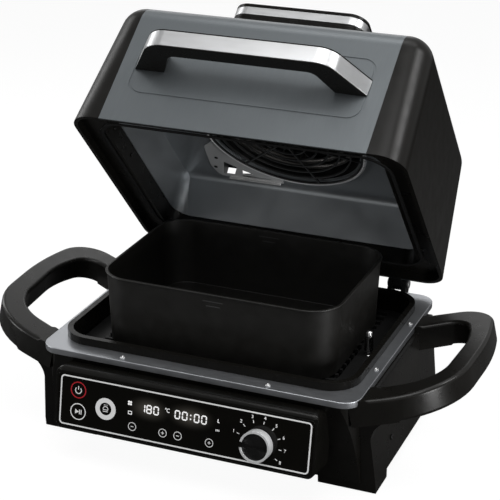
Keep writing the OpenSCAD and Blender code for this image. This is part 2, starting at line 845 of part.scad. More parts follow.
// Frame inside the hood's mouth: a step over the collar, and an inner wall up to the liner
module lid_frame() {
    edge = lid_wall + seat;
    color("#171717") on_lid() intersection() {
        lid_block(edge);
        difference() {
            translate([0, lid_y, 0]) slab(lid_w, lid_d, lid_plan_r, lid_z0, frame_top);
            translate([0, mouth_y, 0]) slab(mouth_w, mouth_d, mouth_r, 0, lid_top);
            difference() {
                translate([0, lid_y, 0]) slab(lid_w, lid_d, lid_plan_r, frame_z + frame_t, lid_top);
                translate([0, mouth_y, 0])
                    slab(mouth_w + 2 * frame_t, mouth_d + 2 * frame_t, mouth_r + frame_t, 0, lid_top);
            }
            translate([0, lid_y, 0])
                slab(lid_w - 2 * edge - 2 * frame_t, lid_d - 2 * edge - 2 * frame_t,
                    lid_plan_r - edge - frame_t, 0, frame_z);
        }
    }
}

frame_screw_ys = [-100, -35, 77];
module lid_frame_screws() {
    color("#8a8a8a") on_lid()
        for (x = [-1, 1], y = frame_screw_ys)
            translate([x * (mouth_w / 2 - seat), y, frame_z + 14]) rotate([0, -x * 90, 0])
                cylinder(r = 2.6, h = 1.2);
}

module lid_seal() {
    color("#0a0a0a") on_lid() difference() {
        slab(collar_w, collar_d, collar_r, collar_z + run_gap, frame_z - seat);
        slab(collar_w - 9, collar_d - 9, collar_r - 4.5, collar_z, frame_z + over);
    }
}

// Liner: a bright sheet tub, mouth down, with a round hole under the fan
liner_front_r = 16;
liner_rear_r = 10;
liner_lean = 12;
module liner_block(inset) {
    intersection() {
        along_x(mouth_w - 2 * inset) rounded_poly([
            [mouth_front + inset, frame_top + seat - (inset > 0 ? over : 0), 0],
            [mouth_front + inset, ceiling_z + liner_t - inset, liner_front_r],
            [mouth_rear - liner_lean - inset, ceiling_z + liner_t - inset, liner_rear_r],
            [mouth_rear - 1 - inset, frame_top + seat - (inset > 0 ? over : 0), 0]]);
        translate([0, mouth_y, 0])
            slab(mouth_w - 2 * inset, mouth_d - 2 * inset, mouth_r - inset, 0, lid_top);
    }
}

duct_back = 24;
duct_l = 38;
duct_y1 = mouth_rear - duct_back;
duct_y0 = duct_y1 - duct_l;
duct_h = 28;
module lid_liner() {
    color("#a3a6a8") on_lid() difference() {
        liner_block(0);
        liner_block(liner_t);
        translate([0, fan_y, 0]) cylinder(r = can_r - 2, h = lid_top);
        translate([vent_x, (duct_y0 + duct_y1) / 2, ceiling_z])
            cube([vent_w - 4, duct_y1 - duct_y0 - 4, 8 * liner_t], center = true);
    }
}

// Arm from the hood's rear face to the knuckle
arm_foot = 12;
arm_rise = 46;
arm_root = 20;
arm_low = lid_z0 + arm_foot;
arm_top = lid_z0 + arm_rise;
arm_t = 4.5;
module lid_hinge_arms() {
    color("#2c2c2c") on_lid()
        for (s = [-1, 1]) difference() {
            translate([s * hinge_x, 0, 0]) union() {
                along_x(arm_w) {
                    translate([hinge_y, hinge_z]) circle(knuckle_r);
                    polygon([
                        [lid_rear - arm_root, lid_z0 + 1], [hinge_y, hinge_z - knuckle_r + 4],
                        [hinge_y + knuckle_r - 1, hinge_z + 4], [lid_back(arm_top) + 2 * arm_t, arm_top],
                        [lid_rear - arm_root, arm_top]]);
                }
                along_x(2.4 * arm_w) polygon([
                    [lid_rear - arm_root, arm_low], [lid_back(arm_low) + arm_t, arm_low],
                    [lid_back(arm_top) + arm_t, arm_top], [lid_rear - arm_root, arm_top]]);
            }
            lid_profile(-seat);
            translate([s * hinge_x, hinge_y, hinge_z]) rotate([0, 90, 0])
                cylinder(r = pin_r + shaft_fit, h = 80, center = true);
            translate([0, hinge_y, hinge_z]) ear_room();
        }
}

// Room round the knuckle for the body's ears
module ear_room() {
    for (s = [-1, 1], e = [-1, 1])
        translate([s * hinge_x + e * (arm_w / 2 + ear_w / 2 + run_gap), 0, 0])
            rotate([0, 90, 0]) cylinder(r = knuckle_r + 1, h = ear_w + 2 * run_gap, center = true);
}

wire = 2.2;
module fan_guard_ring() {
    color("#d6d8da") on_lid() translate([0, fan_y, ceiling_z - wire - 0.2])
        rotate_extrude() translate([guard_r, 0]) circle(wire);
}

guard_rings = 7;
module fan_guard_grille() {
    span = guard_r - wire - 0.2;
    pitch = span / guard_rings;
    color("#1a1a1a") on_lid() translate([0, fan_y, ceiling_z - 2 * wire]) {
        for (i = [1 : guard_rings]) rotate_extrude() translate([i * pitch - wire, 0]) square([wire, wire]);
        for (i = [0 : 2]) rotate([0, 0, 60 * i + 15]) translate([-span + 1, -wire / 2, 0])
            cube([2 * span - 2, wire, wire]);
    }
}

// Round can above the ceiling that holds the coil and the fan
can_t = 1.2;
module fan_can() {
    color("#8f9294") on_lid() translate([0, fan_y, 0]) difference() {
        translate([0, 0, ceiling_z + liner_t + seat])
            cylinder(r = can_r, h = can_top - ceiling_z - liner_t);
        translate([0, 0, ceiling_z]) cylinder(r = can_r - can_t, h = can_top - ceiling_z - can_t);
        cylinder(r = 9, h = lid_top);
        for (i = [0 : 5]) rotate([0, 0, 60 * i]) translate([40, 0, can_top])
            cube([18, 5, 8 * can_t], center = true);
    }
}

coil_rs = [74, 88];
module upper_heating_element() {
    z = ceiling_z + 14;
    color("#4a4542") on_lid() translate([0, fan_y, z]) {
        for (r = coil_rs) rotate_extrude() translate([r, 0]) circle(tube_r);
        translate([coil_rs[0], -tube_r / 2, -tube_r / 2]) cube([coil_rs[1] - coil_rs[0], tube_r, tube_r]);
        for (r = coil_rs) translate([0, r, 0]) cylinder(r = tube_r - 1, h = can_top - can_t - z - seat);
    }
}

// Fan wheel: a back plate with straight blades round a hub
fan_z = ceiling_z + 9;
hub_r = 11;
module fan_wheel() {
    plate = 1.6;
    color("#9ea1a3") on_lid() translate([0, fan_y, fan_z]) difference() {
        union() {
            cylinder(r = hub_r, h = blade_h);
            translate([0, 0, blade_h - plate]) cylinder(r = fan_r, h = plate);
            for (i = [0 : blades - 1]) rotate([0, 0, 360 / blades * i])
                translate([hub_r - 1, -plate / 2, 0]) cube([fan_r - hub_r - 1, plate, blade_h]);
        }
        translate([0, 0, -over]) cylinder(r = shaft_r, h = blade_h + 2 * over);
    }
}

motor_r = 32;
motor_h = 24;
module fan_shaft() {
    color("#c2c2c2") on_lid() translate([0, fan_y, fan_z - 1])
        cylinder(r = shaft_r, h = can_top + motor_h - fan_z);
}

module fan_motor() {
    color("#5b5e60") on_lid() translate([0, fan_y, can_top + 2 * seat]) difference() {
        union() {
            cylinder(r = motor_r, h = motor_h);
            for (i = [0 : 2]) rotate([0, 0, 120 * i]) translate([motor_r - 2, -6, 0]) cube([12, 12, 2]);
        }
        translate([0, 0, -over]) cylinder(r = shaft_r + shaft_fit, h = motor_h + 2 * over);
    }
}

// Duct that lets hot air out through the slot in the hood's rear
module exhaust_duct() {
    wall = 1;
    z0 = ceiling_z + liner_t + seat;
    color("#7d8082") on_lid() difference() {
        translate([vent_x - vent_w / 2, duct_y0, z0]) cube([vent_w, lid_d / 2, duct_h]);
        translate([vent_x - vent_w / 2 + wall, duct_y0 + wall, z0 - over])
            cube([vent_w - 2 * wall, lid_d, duct_h + over - wall]);
        difference() {
            translate([vent_x - vent_w, duct_y0, 0]) cube([2 * vent_w, 200, 2 * lid_top]);
            lid_profile(lid_wall + 2 * seat);
        }
    }
}

// Bracket round the exhaust opening: a plate on the liner's ceiling that follows the fan's ring, with a lip
bracket_t = 1.6;
bracket_rear = duct_y1 + 2;
bracket_right = -30;
bracket_lip = 3.4;
bracket_edge = [
    [-96, bracket_rear - 104, 0], [-124, bracket_rear - 78, 8], [-129, bracket_rear - 26, 18],
    [-122, bracket_rear, 12], [bracket_right, bracket_rear, 2], [bracket_right, bracket_rear - 34, 0]];
bracket_windows = [
    [[-106, -41], [-90, -29.5], [-99.5, -7], [-116, -7]],
    [[-84, -23.5], [-70, -16], [-86, -12]],
    [[-88, -9], [-47, -8], [-47, -5], [-88, -5]]];
module exhaust_bracket() {
    color("#6f7375") on_lid() translate([0, 0, ceiling_z - seat - bracket_t]) difference() {
        union() {
            linear_extrude(bracket_t) rounded_poly(bracket_edge);
            translate([-108, bracket_rear - bracket_t, -bracket_lip])
                cube([bracket_right + 104, bracket_t, bracket_lip + bracket_t]);
        }
        for (w = bracket_windows) translate([0, bracket_rear, -over])
            linear_extrude(bracket_t + 2 * over) polygon(w);
        translate([0, fan_y, -bracket_lip]) cylinder(r = guard_r + wire + 1, h = 4 * bracket_lip);
    }
}

bracket_screw_at = [[-114, bracket_rear - 50], [-122, bracket_rear - 24]];
module bracket_screws() {
    color("#1c1c1c") on_lid()
        for (p = bracket_screw_at) translate([p[0], p[1], ceiling_z - 2 * seat - bracket_t - 1])
            cylinder(r = 2.6, h = 1);
}

// Bow of the hood handle, seen from above: a straight grip with legs that slant back to the hood
bow_splay = 43;
bow_r = 30;
bow_foot = 1.9;
bow_bend = 1;
bow_face = lid_front - grip_out + 7.5;
function bow_outline(inset, back) = [
    [-(grip_l / 2 + bow_splay - inset * bow_foot), back, 0],
    [-(grip_l / 2 - inset * bow_bend), bow_face + inset, bow_r - inset * 0.8],
    [grip_l / 2 - inset * bow_bend, bow_face + inset, bow_r - inset * 0.8],
    [grip_l / 2 + bow_splay - inset * bow_foot, back, 0]];

module bow_slice(inset0, inset1, z0, z1) {
    back = lid_front_top + 4;
    translate([0, 0, z0]) linear_extrude(z1 - z0) difference() {
        rounded_poly(bow_outline(inset0, back));
        rounded_poly(bow_outline(inset1, back + over));
    }
}

band_edge = 1.6;
module lid_handle_core() {
    color("#121212") on_lid() difference() {
        bow_slice(0, grip_t, grip_z - grip_h / 2, grip_z + grip_h / 2);
        bow_slice(-over, band_t + seat, grip_z - grip_h / 2 + band_edge, grip_z + grip_h / 2 - band_edge);
        lid_profile(-seat);
    }
}

module lid_handle_band() {
    color("#c9cbcd") on_lid() difference() {
        bow_slice(0, band_t, grip_z - grip_h / 2 + band_edge + seat,
            grip_z + grip_h / 2 - band_edge - seat);
        lid_profile(-seat);
    }
}

// Smoke box on the hood's top, with a hinged hatch
smoke_wall = 2.4;
lug_w = 10;
module smoke_lug(x, r) {
    translate([x, hatch_axis_y, hatch_axis_z]) rotate([0, 90, 0]) cylinder(r = r, h = lug_w, center = true);
}

module smoke_box() {
    color("#151515") on_lid() difference() {
        union() {
            translate([0, smoke_y, 0]) slab(smoke_w, smoke_d, smoke_r, smoke_z, smoke_z + smoke_h);
            for (s = [-1, 1]) {
                smoke_lug(s * hatch_lug_x, 4);
                translate([s * hatch_lug_x - lug_w / 2, hatch_axis_y - 8, hatch_axis_z - 12])
                    cube([lug_w, 8, 12]);
            }
        }
        translate([0, smoke_y, 0])
            slab(smoke_w - 2 * smoke_wall, smoke_d - 2 * smoke_wall, smoke_r - smoke_wall,
            smoke_z + smoke_wall, hatch_z + hatch_h);
        for (i = [-1 : 1]) translate([0, smoke_y + 16 * i, smoke_z])
            cube([40, 6, 6 * smoke_wall], center = true);
        for (s = [-1, 1]) smoke_bore(s * hatch_lug_x, 2);
        translate([0, smoke_y, 0]) difference() {
            slab(2 * smoke_w, smoke_d, 1, hatch_z - run_gap, hatch_z + hatch_h);
            translate([-smoke_w, smoke_d / 2, 0]) cube([2 * smoke_w, smoke_d, 2 * hatch_z]);
        }
    }
}

module smoke_bore(x, r) {
    translate([x, hatch_axis_y, hatch_axis_z]) rotate([0, 90, 0])
        cylinder(r = r, h = 2 * lug_w, center = true);
}

hatch_band_z0 = hatch_z + 6;
hatch_band_z1 = hatch_z + hatch_h - 4.5;
module hatch_skin(inset0, inset1, z0, z1) {
    translate([0, smoke_y, 0]) difference() {
        slab(smoke_w - 2 * inset0, smoke_d - 2 * inset0, smoke_r - inset0, z0, z1);
        slab(smoke_w - 2 * inset1, smoke_d - 2 * inset1, smoke_r - inset1, z0 - over, z1 + over);
        translate([-smoke_w, smoke_d / 4, 0]) cube([2 * smoke_w, smoke_d, 2 * z1]);
    }
}

module smoke_hatch() {
    color("#131313") on_lid() difference() {
        union() {
            translate([0, smoke_y, 0]) slab(smoke_w, smoke_d, smoke_r, hatch_z, hatch_z + hatch_h);
            for (s = [-1, 1]) {
                smoke_lug(s * (hatch_lug_x - lug_w - run_gap), 4);
                translate([s * (hatch_lug_x - lug_w - run_gap) - lug_w / 2, hatch_axis_y - 8, hatch_axis_z])
                    cube([lug_w, 8, 12]);
            }
        }
        translate([0, smoke_y, 0])
            slab(smoke_w - 2 * smoke_wall - 4, smoke_d - 2 * smoke_wall - 4, smoke_r - smoke_wall - 2,
            hatch_z - over, hatch_z + hatch_h - smoke_wall);
        hatch_skin(-over, band_t + seat, hatch_band_z0, hatch_band_z1);
        for (s = [-1, 1]) smoke_bore(s * (hatch_lug_x - lug_w - run_gap), 2 + shaft_fit);
        for (s = [-1, 1]) translate([s * hatch_lug_x, hatch_axis_y, hatch_axis_z]) rotate([0, 90, 0])
            cylinder(r = 4 + run_gap, h = lug_w + run_gap, center = true);
    }
}

module hatch_band() {
    color("#c9cbcd") on_lid() hatch_skin(0, band_t, hatch_band_z0 + seat, hatch_band_z1 - seat);
}

module hatch_pins() {
    color("#b0b0b0") on_lid()
        for (s = [-1, 1])
            translate([s * (hatch_lug_x - lug_w / 2), hatch_axis_y, hatch_axis_z]) rotate([0, 90, 0])
                cylinder(r = 2, h = 2 * lug_w, center = true);
}

base_housing();
base_plate();
rim_plate();
rim_screws();
inner_well();
grill_plate();
plate_posts();
lower_heating_element();
element_rests();
temperature_probe();
left_cheek_handle();
right_cheek_handle();
cheek_screws();
foot_pads();
panel_housing();
panel_glass();
control_board();
display_module();
encoder();
knob_ring();
knob_cap();
power_inlet();
hinge_brackets();
hinge_pins();
cooking_pot();
lid_cover();
lid_left_shell();
lid_right_shell();
lid_frame();
lid_frame_screws();
lid_seal();
lid_liner();
lid_hinge_arms();
fan_guard_ring();
fan_guard_grille();
fan_can();
upper_heating_element();
fan_wheel();
fan_shaft();
fan_motor();
exhaust_duct();
exhaust_bracket();
bracket_screws();
lid_handle_core();
lid_handle_band();
smoke_box();
smoke_hatch();
hatch_band();
hatch_pins();
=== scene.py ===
import json
import math

import bmesh
import bpy
from mathutils import Matrix, Vector
from mathutils.bvhtree import BVHTree


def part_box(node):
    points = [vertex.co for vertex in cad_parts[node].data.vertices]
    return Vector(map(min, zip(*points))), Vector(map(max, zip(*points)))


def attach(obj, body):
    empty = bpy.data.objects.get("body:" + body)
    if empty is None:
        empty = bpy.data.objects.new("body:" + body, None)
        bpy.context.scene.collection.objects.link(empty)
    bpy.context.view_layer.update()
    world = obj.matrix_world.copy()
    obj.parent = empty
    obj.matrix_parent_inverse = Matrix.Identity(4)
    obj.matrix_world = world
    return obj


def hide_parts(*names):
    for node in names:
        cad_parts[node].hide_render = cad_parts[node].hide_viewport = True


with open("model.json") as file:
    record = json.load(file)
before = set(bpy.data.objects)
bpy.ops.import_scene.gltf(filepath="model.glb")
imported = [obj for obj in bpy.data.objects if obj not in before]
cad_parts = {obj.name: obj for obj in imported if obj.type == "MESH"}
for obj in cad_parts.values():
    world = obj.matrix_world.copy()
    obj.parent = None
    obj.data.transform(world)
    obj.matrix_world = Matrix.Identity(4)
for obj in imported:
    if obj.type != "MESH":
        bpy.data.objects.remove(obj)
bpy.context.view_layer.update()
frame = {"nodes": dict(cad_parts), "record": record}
nodes = frame["nodes"]

MM = 0.001
WHITE = (1, 1, 1, 1)


def add_object(name, data):
    made = bpy.data.objects.new(name, data)
    bpy.context.scene.collection.objects.link(made)
    return made


def add_mesh(name, bm, material):
    mesh = bpy.data.meshes.new(name)
    bm.to_mesh(mesh)
    bm.free()
    mesh.materials.append(material)
    return add_object(name, mesh)


# Camera at the photograph's viewing angle, placed from the middle of the rim plate's top
AZIMUTH = math.radians(22.125)
ELEVATION = math.radians(22.203)
ROLL = math.radians(0.32)
CAMERA_DISTANCE = 1892.1 * MM
AIM_RIGHT, AIM_UP = 6.56 * MM, 95.1 * MM
SENSOR = 36.0
# Focal length over picture width, both in pixels of the photograph
FOCAL_SHARE = 1555.14 / 500

rim_low, rim_high = (Vector(corner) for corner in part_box("rim_plate"))
rim_middle = Vector((0, (rim_low.y + rim_high.y) / 2, rim_high.z))


def add_camera():
    back = Vector((math.sin(AZIMUTH) * math.cos(ELEVATION), -math.cos(AZIMUTH) * math.cos(ELEVATION),
                   math.sin(ELEVATION)))
    level = Vector((math.cos(AZIMUTH), math.sin(AZIMUTH), 0))
    upright = back.cross(level)
    right = level * math.cos(ROLL) + upright * math.sin(ROLL)
    up = upright * math.cos(ROLL) - level * math.sin(ROLL)
    lens = bpy.data.cameras.new("camera")
    lens.sensor_width = SENSOR
    lens.sensor_fit = "HORIZONTAL"
    lens.lens = FOCAL_SHARE * SENSOR
    camera = add_object("camera", lens)
    place = rim_middle + Vector((AIM_RIGHT, 0, AIM_UP)) + back * CAMERA_DISTANCE
    turn = Matrix((right, up, back)).transposed().to_4x4()
    camera.matrix_world = Matrix.Translation(place) @ turn
    bpy.context.scene.camera = camera


add_camera()


# Studio: pale floor, white surround for camera and reflections, soft lamps
FLOOR_REACH = 6
FLOOR_GREY = 0.11
FLOOR_GLOW = 0.94
MIRRORED_WHITE = 0.45
FILL_LIGHT = 0.08
# Name, place, aim, width and length in metres, power in watts
LAMPS = (
    ("top_softbox", (0.25, -0.75, 1.9), (0, 0, 0.25), (1.6, 1.1), 21),
    ("low_left_strip", (-1.2, -0.6, 0.2), (0, 0, 0.15), (0.5, 0.36), 4),
    ("low_right_strip", (1.2, -0.5, 0.15), (0, 0, 0.15), (0.3, 0.26), 7),
    ("back_left_strip", (-1.5, 0.5, 0.9), (0, 0, 0.25), (0.3, 1.4), 5),
    ("high_right_strip", (1.15, 0.29, 1.42), (0.19, -0.02, 0.43), (0.3, 0.6), 7),
    ("rear_softbox", (0.0, 0.6, 1.8), (0, 0, 0.35), (1.4, 0.5), 6),
    ("back_softbox", (-0.5, 1.25, 0.83), (0, 0, 0.12), (1.0, 0.3), 1.3),
)


def tint(level, red=1.0, blue=1.0):
    return (level * red, level, level * blue)


def new_tree(holder):
    holder.use_nodes = True
    tree = holder.node_tree
    tree.nodes.clear()
    return tree


def math_node(tree, operation, fixed=0.0):
    node = tree.nodes.new("ShaderNodeMath")
    node.operation = operation
    node.inputs[1].default_value = fixed
    return node


def add_floor():
    material = bpy.data.materials.new("pale_floor")
    tree = new_tree(material)
    out = tree.nodes.new("ShaderNodeOutputMaterial")
    both = tree.nodes.new("ShaderNodeAddShader")
    matte = tree.nodes.new("ShaderNodeBsdfDiffuse")
    matte.inputs["Color"].default_value = (*tint(FLOOR_GREY), 1)
    glow = tree.nodes.new("ShaderNodeEmission")
    rays = tree.nodes.new("ShaderNodeLightPath")
    level = math_node(tree, "MULTIPLY", FLOOR_GLOW)
    link = tree.links.new
    link(rays.outputs["Is Camera Ray"], level.inputs[0])
    link(level.outputs[0], glow.inputs["Strength"])
    link(matte.outputs[0], both.inputs[0])
    link(glow.outputs[0], both.inputs[1])
    link(both.outputs[0], out.inputs["Surface"])
    bm = bmesh.new()
    bmesh.ops.create_grid(bm, x_segments=1, y_segments=1, size=FLOOR_REACH)
    floor = add_mesh("floor", bm, material)


def add_world():
    world = bpy.data.worlds.new("studio")
    bpy.context.scene.world = world
    tree = new_tree(world)
    out = tree.nodes.new("ShaderNodeOutputWorld")
    sky = tree.nodes.new("ShaderNodeBackground")
    sky.inputs["Color"].default_value = WHITE
    rays = tree.nodes.new("ShaderNodeLightPath")
    seen = math_node(tree, "MAXIMUM")
    mirrored = math_node(tree, "MULTIPLY", MIRRORED_WHITE)
    shown = math_node(tree, "MAXIMUM")
    level = math_node(tree, "MAXIMUM", FILL_LIGHT)
    link = tree.links.new
    link(rays.outputs["Is Camera Ray"], seen.inputs[0])
    link(rays.outputs["Is Transmission Ray"], seen.inputs[1])
    link(rays.outputs["Is Glossy Ray"], mirrored.inputs[0])
    link(seen.outputs[0], shown.inputs[0])
    link(mirrored.outputs[0], shown.inputs[1])
    link(shown.outputs[0], level.inputs[0])
    link(level.outputs[0], sky.inputs["Strength"])
    link(sky.outputs[0], out.inputs["Surface"])


def add_lamp(name, place, aim, size, power):
    light = bpy.data.lights.new(name, "AREA")
    light.shape = "RECTANGLE"
    light.size, light.size_y = size
    light.energy = power
    lamp = add_object(name, light)
    away = Vector(aim) - Vector(place)
    lamp.rotation_euler = away.to_track_quat("-Z", "Y").to_euler()
    lamp.location = place


add_floor()
add_world()
for lamp_row in LAMPS:
    add_lamp(*lamp_row)
bpy.context.scene.view_settings.view_transform = "Standard"


# Finishes: each has a slight mottle in colour and gloss over Object coordinates
MOTTLE_LOW, MOTTLE_HIGH = 0.3, 0.7
MOTTLE_DETAIL, GRAIN_DETAIL = 4, 2
BUMP_DEPTH = 0.3 * MM


def finish(name, dark, pale, gloss, metal=0.0, mottle=60.0, stretch=(1, 1, 1), bump=0.0, grain=900.0,
           specular=0.5, glow=0.0):
    material = bpy.data.materials.new(name)
    tree = new_tree(material)
    out = tree.nodes.new("ShaderNodeOutputMaterial")
    skin = tree.nodes.new("ShaderNodeBsdfPrincipled")
    place = tree.nodes.new("ShaderNodeTexCoord")
    spread = tree.nodes.new("ShaderNodeMapping")
    spread.inputs["Scale"].default_value = stretch
    cloud = tree.nodes.new("ShaderNodeTexNoise")
    cloud.inputs["Scale"].default_value = mottle
    cloud.inputs["Detail"].default_value = MOTTLE_DETAIL
    shade = tree.nodes.new("ShaderNodeMix")
    shade.data_type = "RGBA"
    shade.inputs["A"].default_value = (*dark, 1)
    shade.inputs["B"].default_value = (*pale, 1)
    polish = tree.nodes.new("ShaderNodeMapRange")
    polish.inputs["From Min"].default_value = MOTTLE_LOW
    polish.inputs["From Max"].default_value = MOTTLE_HIGH
    polish.inputs["To Min"].default_value = gloss[0]
    polish.inputs["To Max"].default_value = gloss[1]
    skin.inputs["Metallic"].default_value = metal
    skin.inputs["Specular IOR Level"].default_value = specular
    skin.inputs["Emission Color"].default_value = WHITE
    skin.inputs["Emission Strength"].default_value = glow
    link = tree.links.new
    link(place.outputs["Object"], spread.inputs["Vector"])
    link(spread.outputs[0], cloud.inputs["Vector"])
    link(cloud.outputs["Fac"], shade.inputs["Factor"])
    link(cloud.outputs["Fac"], polish.inputs["Value"])
    link(shade.outputs["Result"], skin.inputs["Base Color"])
    link(polish.outputs[0], skin.inputs["Roughness"])
    if bump:
        speck = tree.nodes.new("ShaderNodeTexNoise")
        speck.inputs["Scale"].default_value = grain
        speck.inputs["Detail"].default_value = GRAIN_DETAIL
        press = tree.nodes.new("ShaderNodeBump")
        press.inputs["Strength"].default_value = bump
        press.inputs["Distance"].default_value = BUMP_DEPTH
        link(spread.outputs[0], speck.inputs["Vector"])
        link(speck.outputs["Fac"], press.inputs["Height"])
        link(press.outputs[0], skin.inputs["Normal"])
    link(skin.outputs[0], out.inputs["Surface"])
    return material


FINISHES = {
    "black_plastic": finish("moulded_black", tint(0.0045, 1.08, 0.85), tint(0.0065, 1.08, 0.85),
                            (0.26, 0.33), bump=0.04, specular=0.28),
    "gloss_black": finish("smooth_black", tint(0.004, 1.05, 0.85), tint(0.0055, 1.05, 0.85),
                          (0.20, 0.27), specular=0.2),
    "panel_glass": finish("printed_glass", tint(0.0025, 1.1, 0.7), tint(0.0035, 1.1, 0.7),
                          (0.05, 0.08), specular=0.2),
    "black_enamel": finish("nonstick_black", tint(0.005, 1.06, 0.85), tint(0.0075, 1.06, 0.85),
                           (0.38, 0.46), bump=0.06),
    "grey_cover": finish("grey_cover_paint", tint(0.134, 0.90, 1.06), tint(0.156, 0.90, 1.06),
                         (0.33, 0.40), metal=0.4, mottle=40, stretch=(26, 1, 1), bump=0.05, grain=60),
    "satin_steel": finish("satin_steel", tint(0.52, 0.99, 1.01), tint(0.58, 0.99, 1.01),
                          (0.30, 0.36), metal=1.0, mottle=40, stretch=(1, 5, 5)),
    "bright_ring": finish("bright_ring", tint(0.72), tint(0.80), (0.10, 0.16), metal=1.0),
    "screw_steel": finish("plain_steel", tint(0.52), tint(0.62), (0.32, 0.42), metal=0.8, mottle=200),
    "dark_steel": finish("dark_steel", tint(0.012), tint(0.018), (0.36, 0.46), metal=0.4, specular=0.25),
    "cast_plate": finish("coated_plate", tint(0.006), tint(0.009), (0.42, 0.52), bump=0.2, grain=700,
                         specular=0.25),
    "element_tube": finish("heat_stained_tube", tint(0.10, 1.06, 0.94), tint(0.17, 1.04, 0.96),
                           (0.40, 0.55), metal=0.8),
    "fan_alloy": finish("fan_alloy", tint(0.42), tint(0.52), (0.32, 0.42), metal=1.0),
    "board_green": finish("board_green", (0.012, 0.07, 0.025), (0.02, 0.10, 0.04), (0.35, 0.45)),
    "pad_rubber": finish("pad_rubber", tint(0.006), tint(0.009), (0.65, 0.75), specular=0.2),
}
LINER_STEEL = finish("liner_steel", tint(0.36, 0.95, 1.04), tint(0.42, 0.95, 1.04), (0.40, 0.48),
                     metal=0.85, mottle=30)
RIM_STEEL = finish("rim_steel", tint(0.44, 0.97, 1.05), tint(0.50, 0.97, 1.05), (0.30, 0.38),
                   metal=0.9, stretch=(1, 6, 6))
SHELL_BLACK = finish("hood_shell_black", tint(0.0045, 1.08, 0.85), tint(0.006, 1.08, 0.85), (0.28, 0.36),
                     bump=0.05, specular=0.2)
RING_SILVER = finish("turned_silver", tint(0.90, 0.99, 1.01), tint(0.96, 0.99, 1.01), (0.22, 0.30),
                     metal=0.35)
HANDLE_BLACK = finish("handle_black", tint(0.0045, 1.08, 0.85), tint(0.006, 1.08, 0.85), (0.22, 0.30),
                      specular=0.12)
BRACKET_STEEL = finish("bracket_steel", tint(0.66), tint(0.76), (0.28, 0.36), metal=0.5)
GUARD_STEEL = finish("guard_ring_steel", tint(0.82), tint(0.90), (0.26, 0.34), metal=0.3)
GRILLE_WIRE = finish("grille_wire", tint(0.07), tint(0.10), (0.30, 0.40), metal=0.8)
# Painted shade: the fan's can behind the guard is coloured near black for the shade in that recess
FAN_CAN_PAINTED_SHADE = finish("fan_can_painted_shade", tint(0.006), tint(0.010), (0.45, 0.55), specular=0.2)
PROBE_STEEL = finish("probe_steel", tint(0.48), tint(0.58), (0.18, 0.26), metal=1.0, mottle=200)
# White print with a painted glow: a weak emission makes the printed marks brighter, though they are no
# lamp
WHITE_PRINT_PAINTED_GLOW = finish("white_print_painted_glow", tint(0.84), tint(0.92), (0.45, 0.55), glow=0.12)
GREY_MARK = finish("grey_mark", tint(0.035), tint(0.045), (0.40, 0.50))
RED_PRINT = finish("red_print", (0.50, 0.01, 0.02), (0.62, 0.015, 0.03), (0.45, 0.55))
LIT_DIGITS = finish("lit_digits", tint(0.80), tint(0.88), (0.45, 0.55), glow=0.5)
DIAL_FACE = finish("turned_dial_face", tint(0.007), tint(0.011), (0.22, 0.28), metal=0.5, specular=0.25)


# Carried-over solids: edges eased by modifiers, a finish of their own or from the record's slot
slot_of = {part["node"]: part["material_slot"] for part in frame["record"]["subparts"]}
OWN_FINISH = {
    "lid_liner": LINER_STEEL, "rim_plate": RIM_STEEL, "lid_left_shell": SHELL_BLACK,
    "lid_right_shell": SHELL_BLACK, "knob_ring": RING_SILVER, "knob_cap": DIAL_FACE,
    "fan_guard_ring": GUARD_STEEL, "exhaust_bracket": BRACKET_STEEL, "lid_handle_core": HANDLE_BLACK,
    "smoke_hatch": HANDLE_BLACK, "inner_well": HANDLE_BLACK, "fan_guard_grille": GRILLE_WIRE,
    # The fan's can and wheel take near-black finishes: painted shade in the recess behind the guard
    "fan_can": FAN_CAN_PAINTED_SHADE, "fan_wheel": GRILLE_WIRE,
}
# Widths in millimetres
USUAL_EDGE = 0.5
EDGE = {
    "cooking_pot": 0.7, "rim_plate": 0.9, "inner_well": 2.2, "lid_frame": 1.2, "lid_handle_core": 3.0,
    "lid_handle_band": 0.7, "smoke_hatch": 2.0, "smoke_box": 1.5, "knob_ring": 1.0, "knob_cap": 0.8,
    "grill_plate": 1.2, "fan_guard_grille": 0.7, "lid_left_shell": 0.6, "lid_right_shell": 0.6,
    "lid_cover": 0.8, "base_housing": 1.5, "power_inlet": 0.8, "hinge_brackets": 1.0,
    "lid_hinge_arms": 1.0, "exhaust_bracket": 0.4, "lid_liner": 0.4,
}
WIDE_EDGE = 2
EDGE_STEPS, WIDE_EDGE_STEPS = 2, 4
# Nodes whose edges stay sharp
PLAIN = {"control_board", "display_module", "encoder", "lower_heating_element", "upper_heating_element",
         "fan_guard_ring", "element_rests", "plate_posts"}
# The ring in the hood's mouth has its edges eased without dissolving its flat faces first
KEEP_FACETS = {"lid_frame"}
MERGE = 1e-6
FLAT_ANGLE = math.radians(0.8)
EDGE_ANGLE = math.radians(32)


def ease_edges(part, width, corners="MITER_ARC"):
    ease = part.modifiers.new("eased_edges", "BEVEL")
    ease.width = width * MM
    ease.segments = WIDE_EDGE_STEPS if width >= WIDE_EDGE else EDGE_STEPS
    ease.limit_method = "ANGLE"
    ease.angle_limit = EDGE_ANGLE
    ease.harden_normals = True
    ease.miter_outer = corners


def tidy_normals(part):
    tidy = part.modifiers.new("tidy_normals", "WEIGHTED_NORMAL")
    tidy.keep_sharp = True


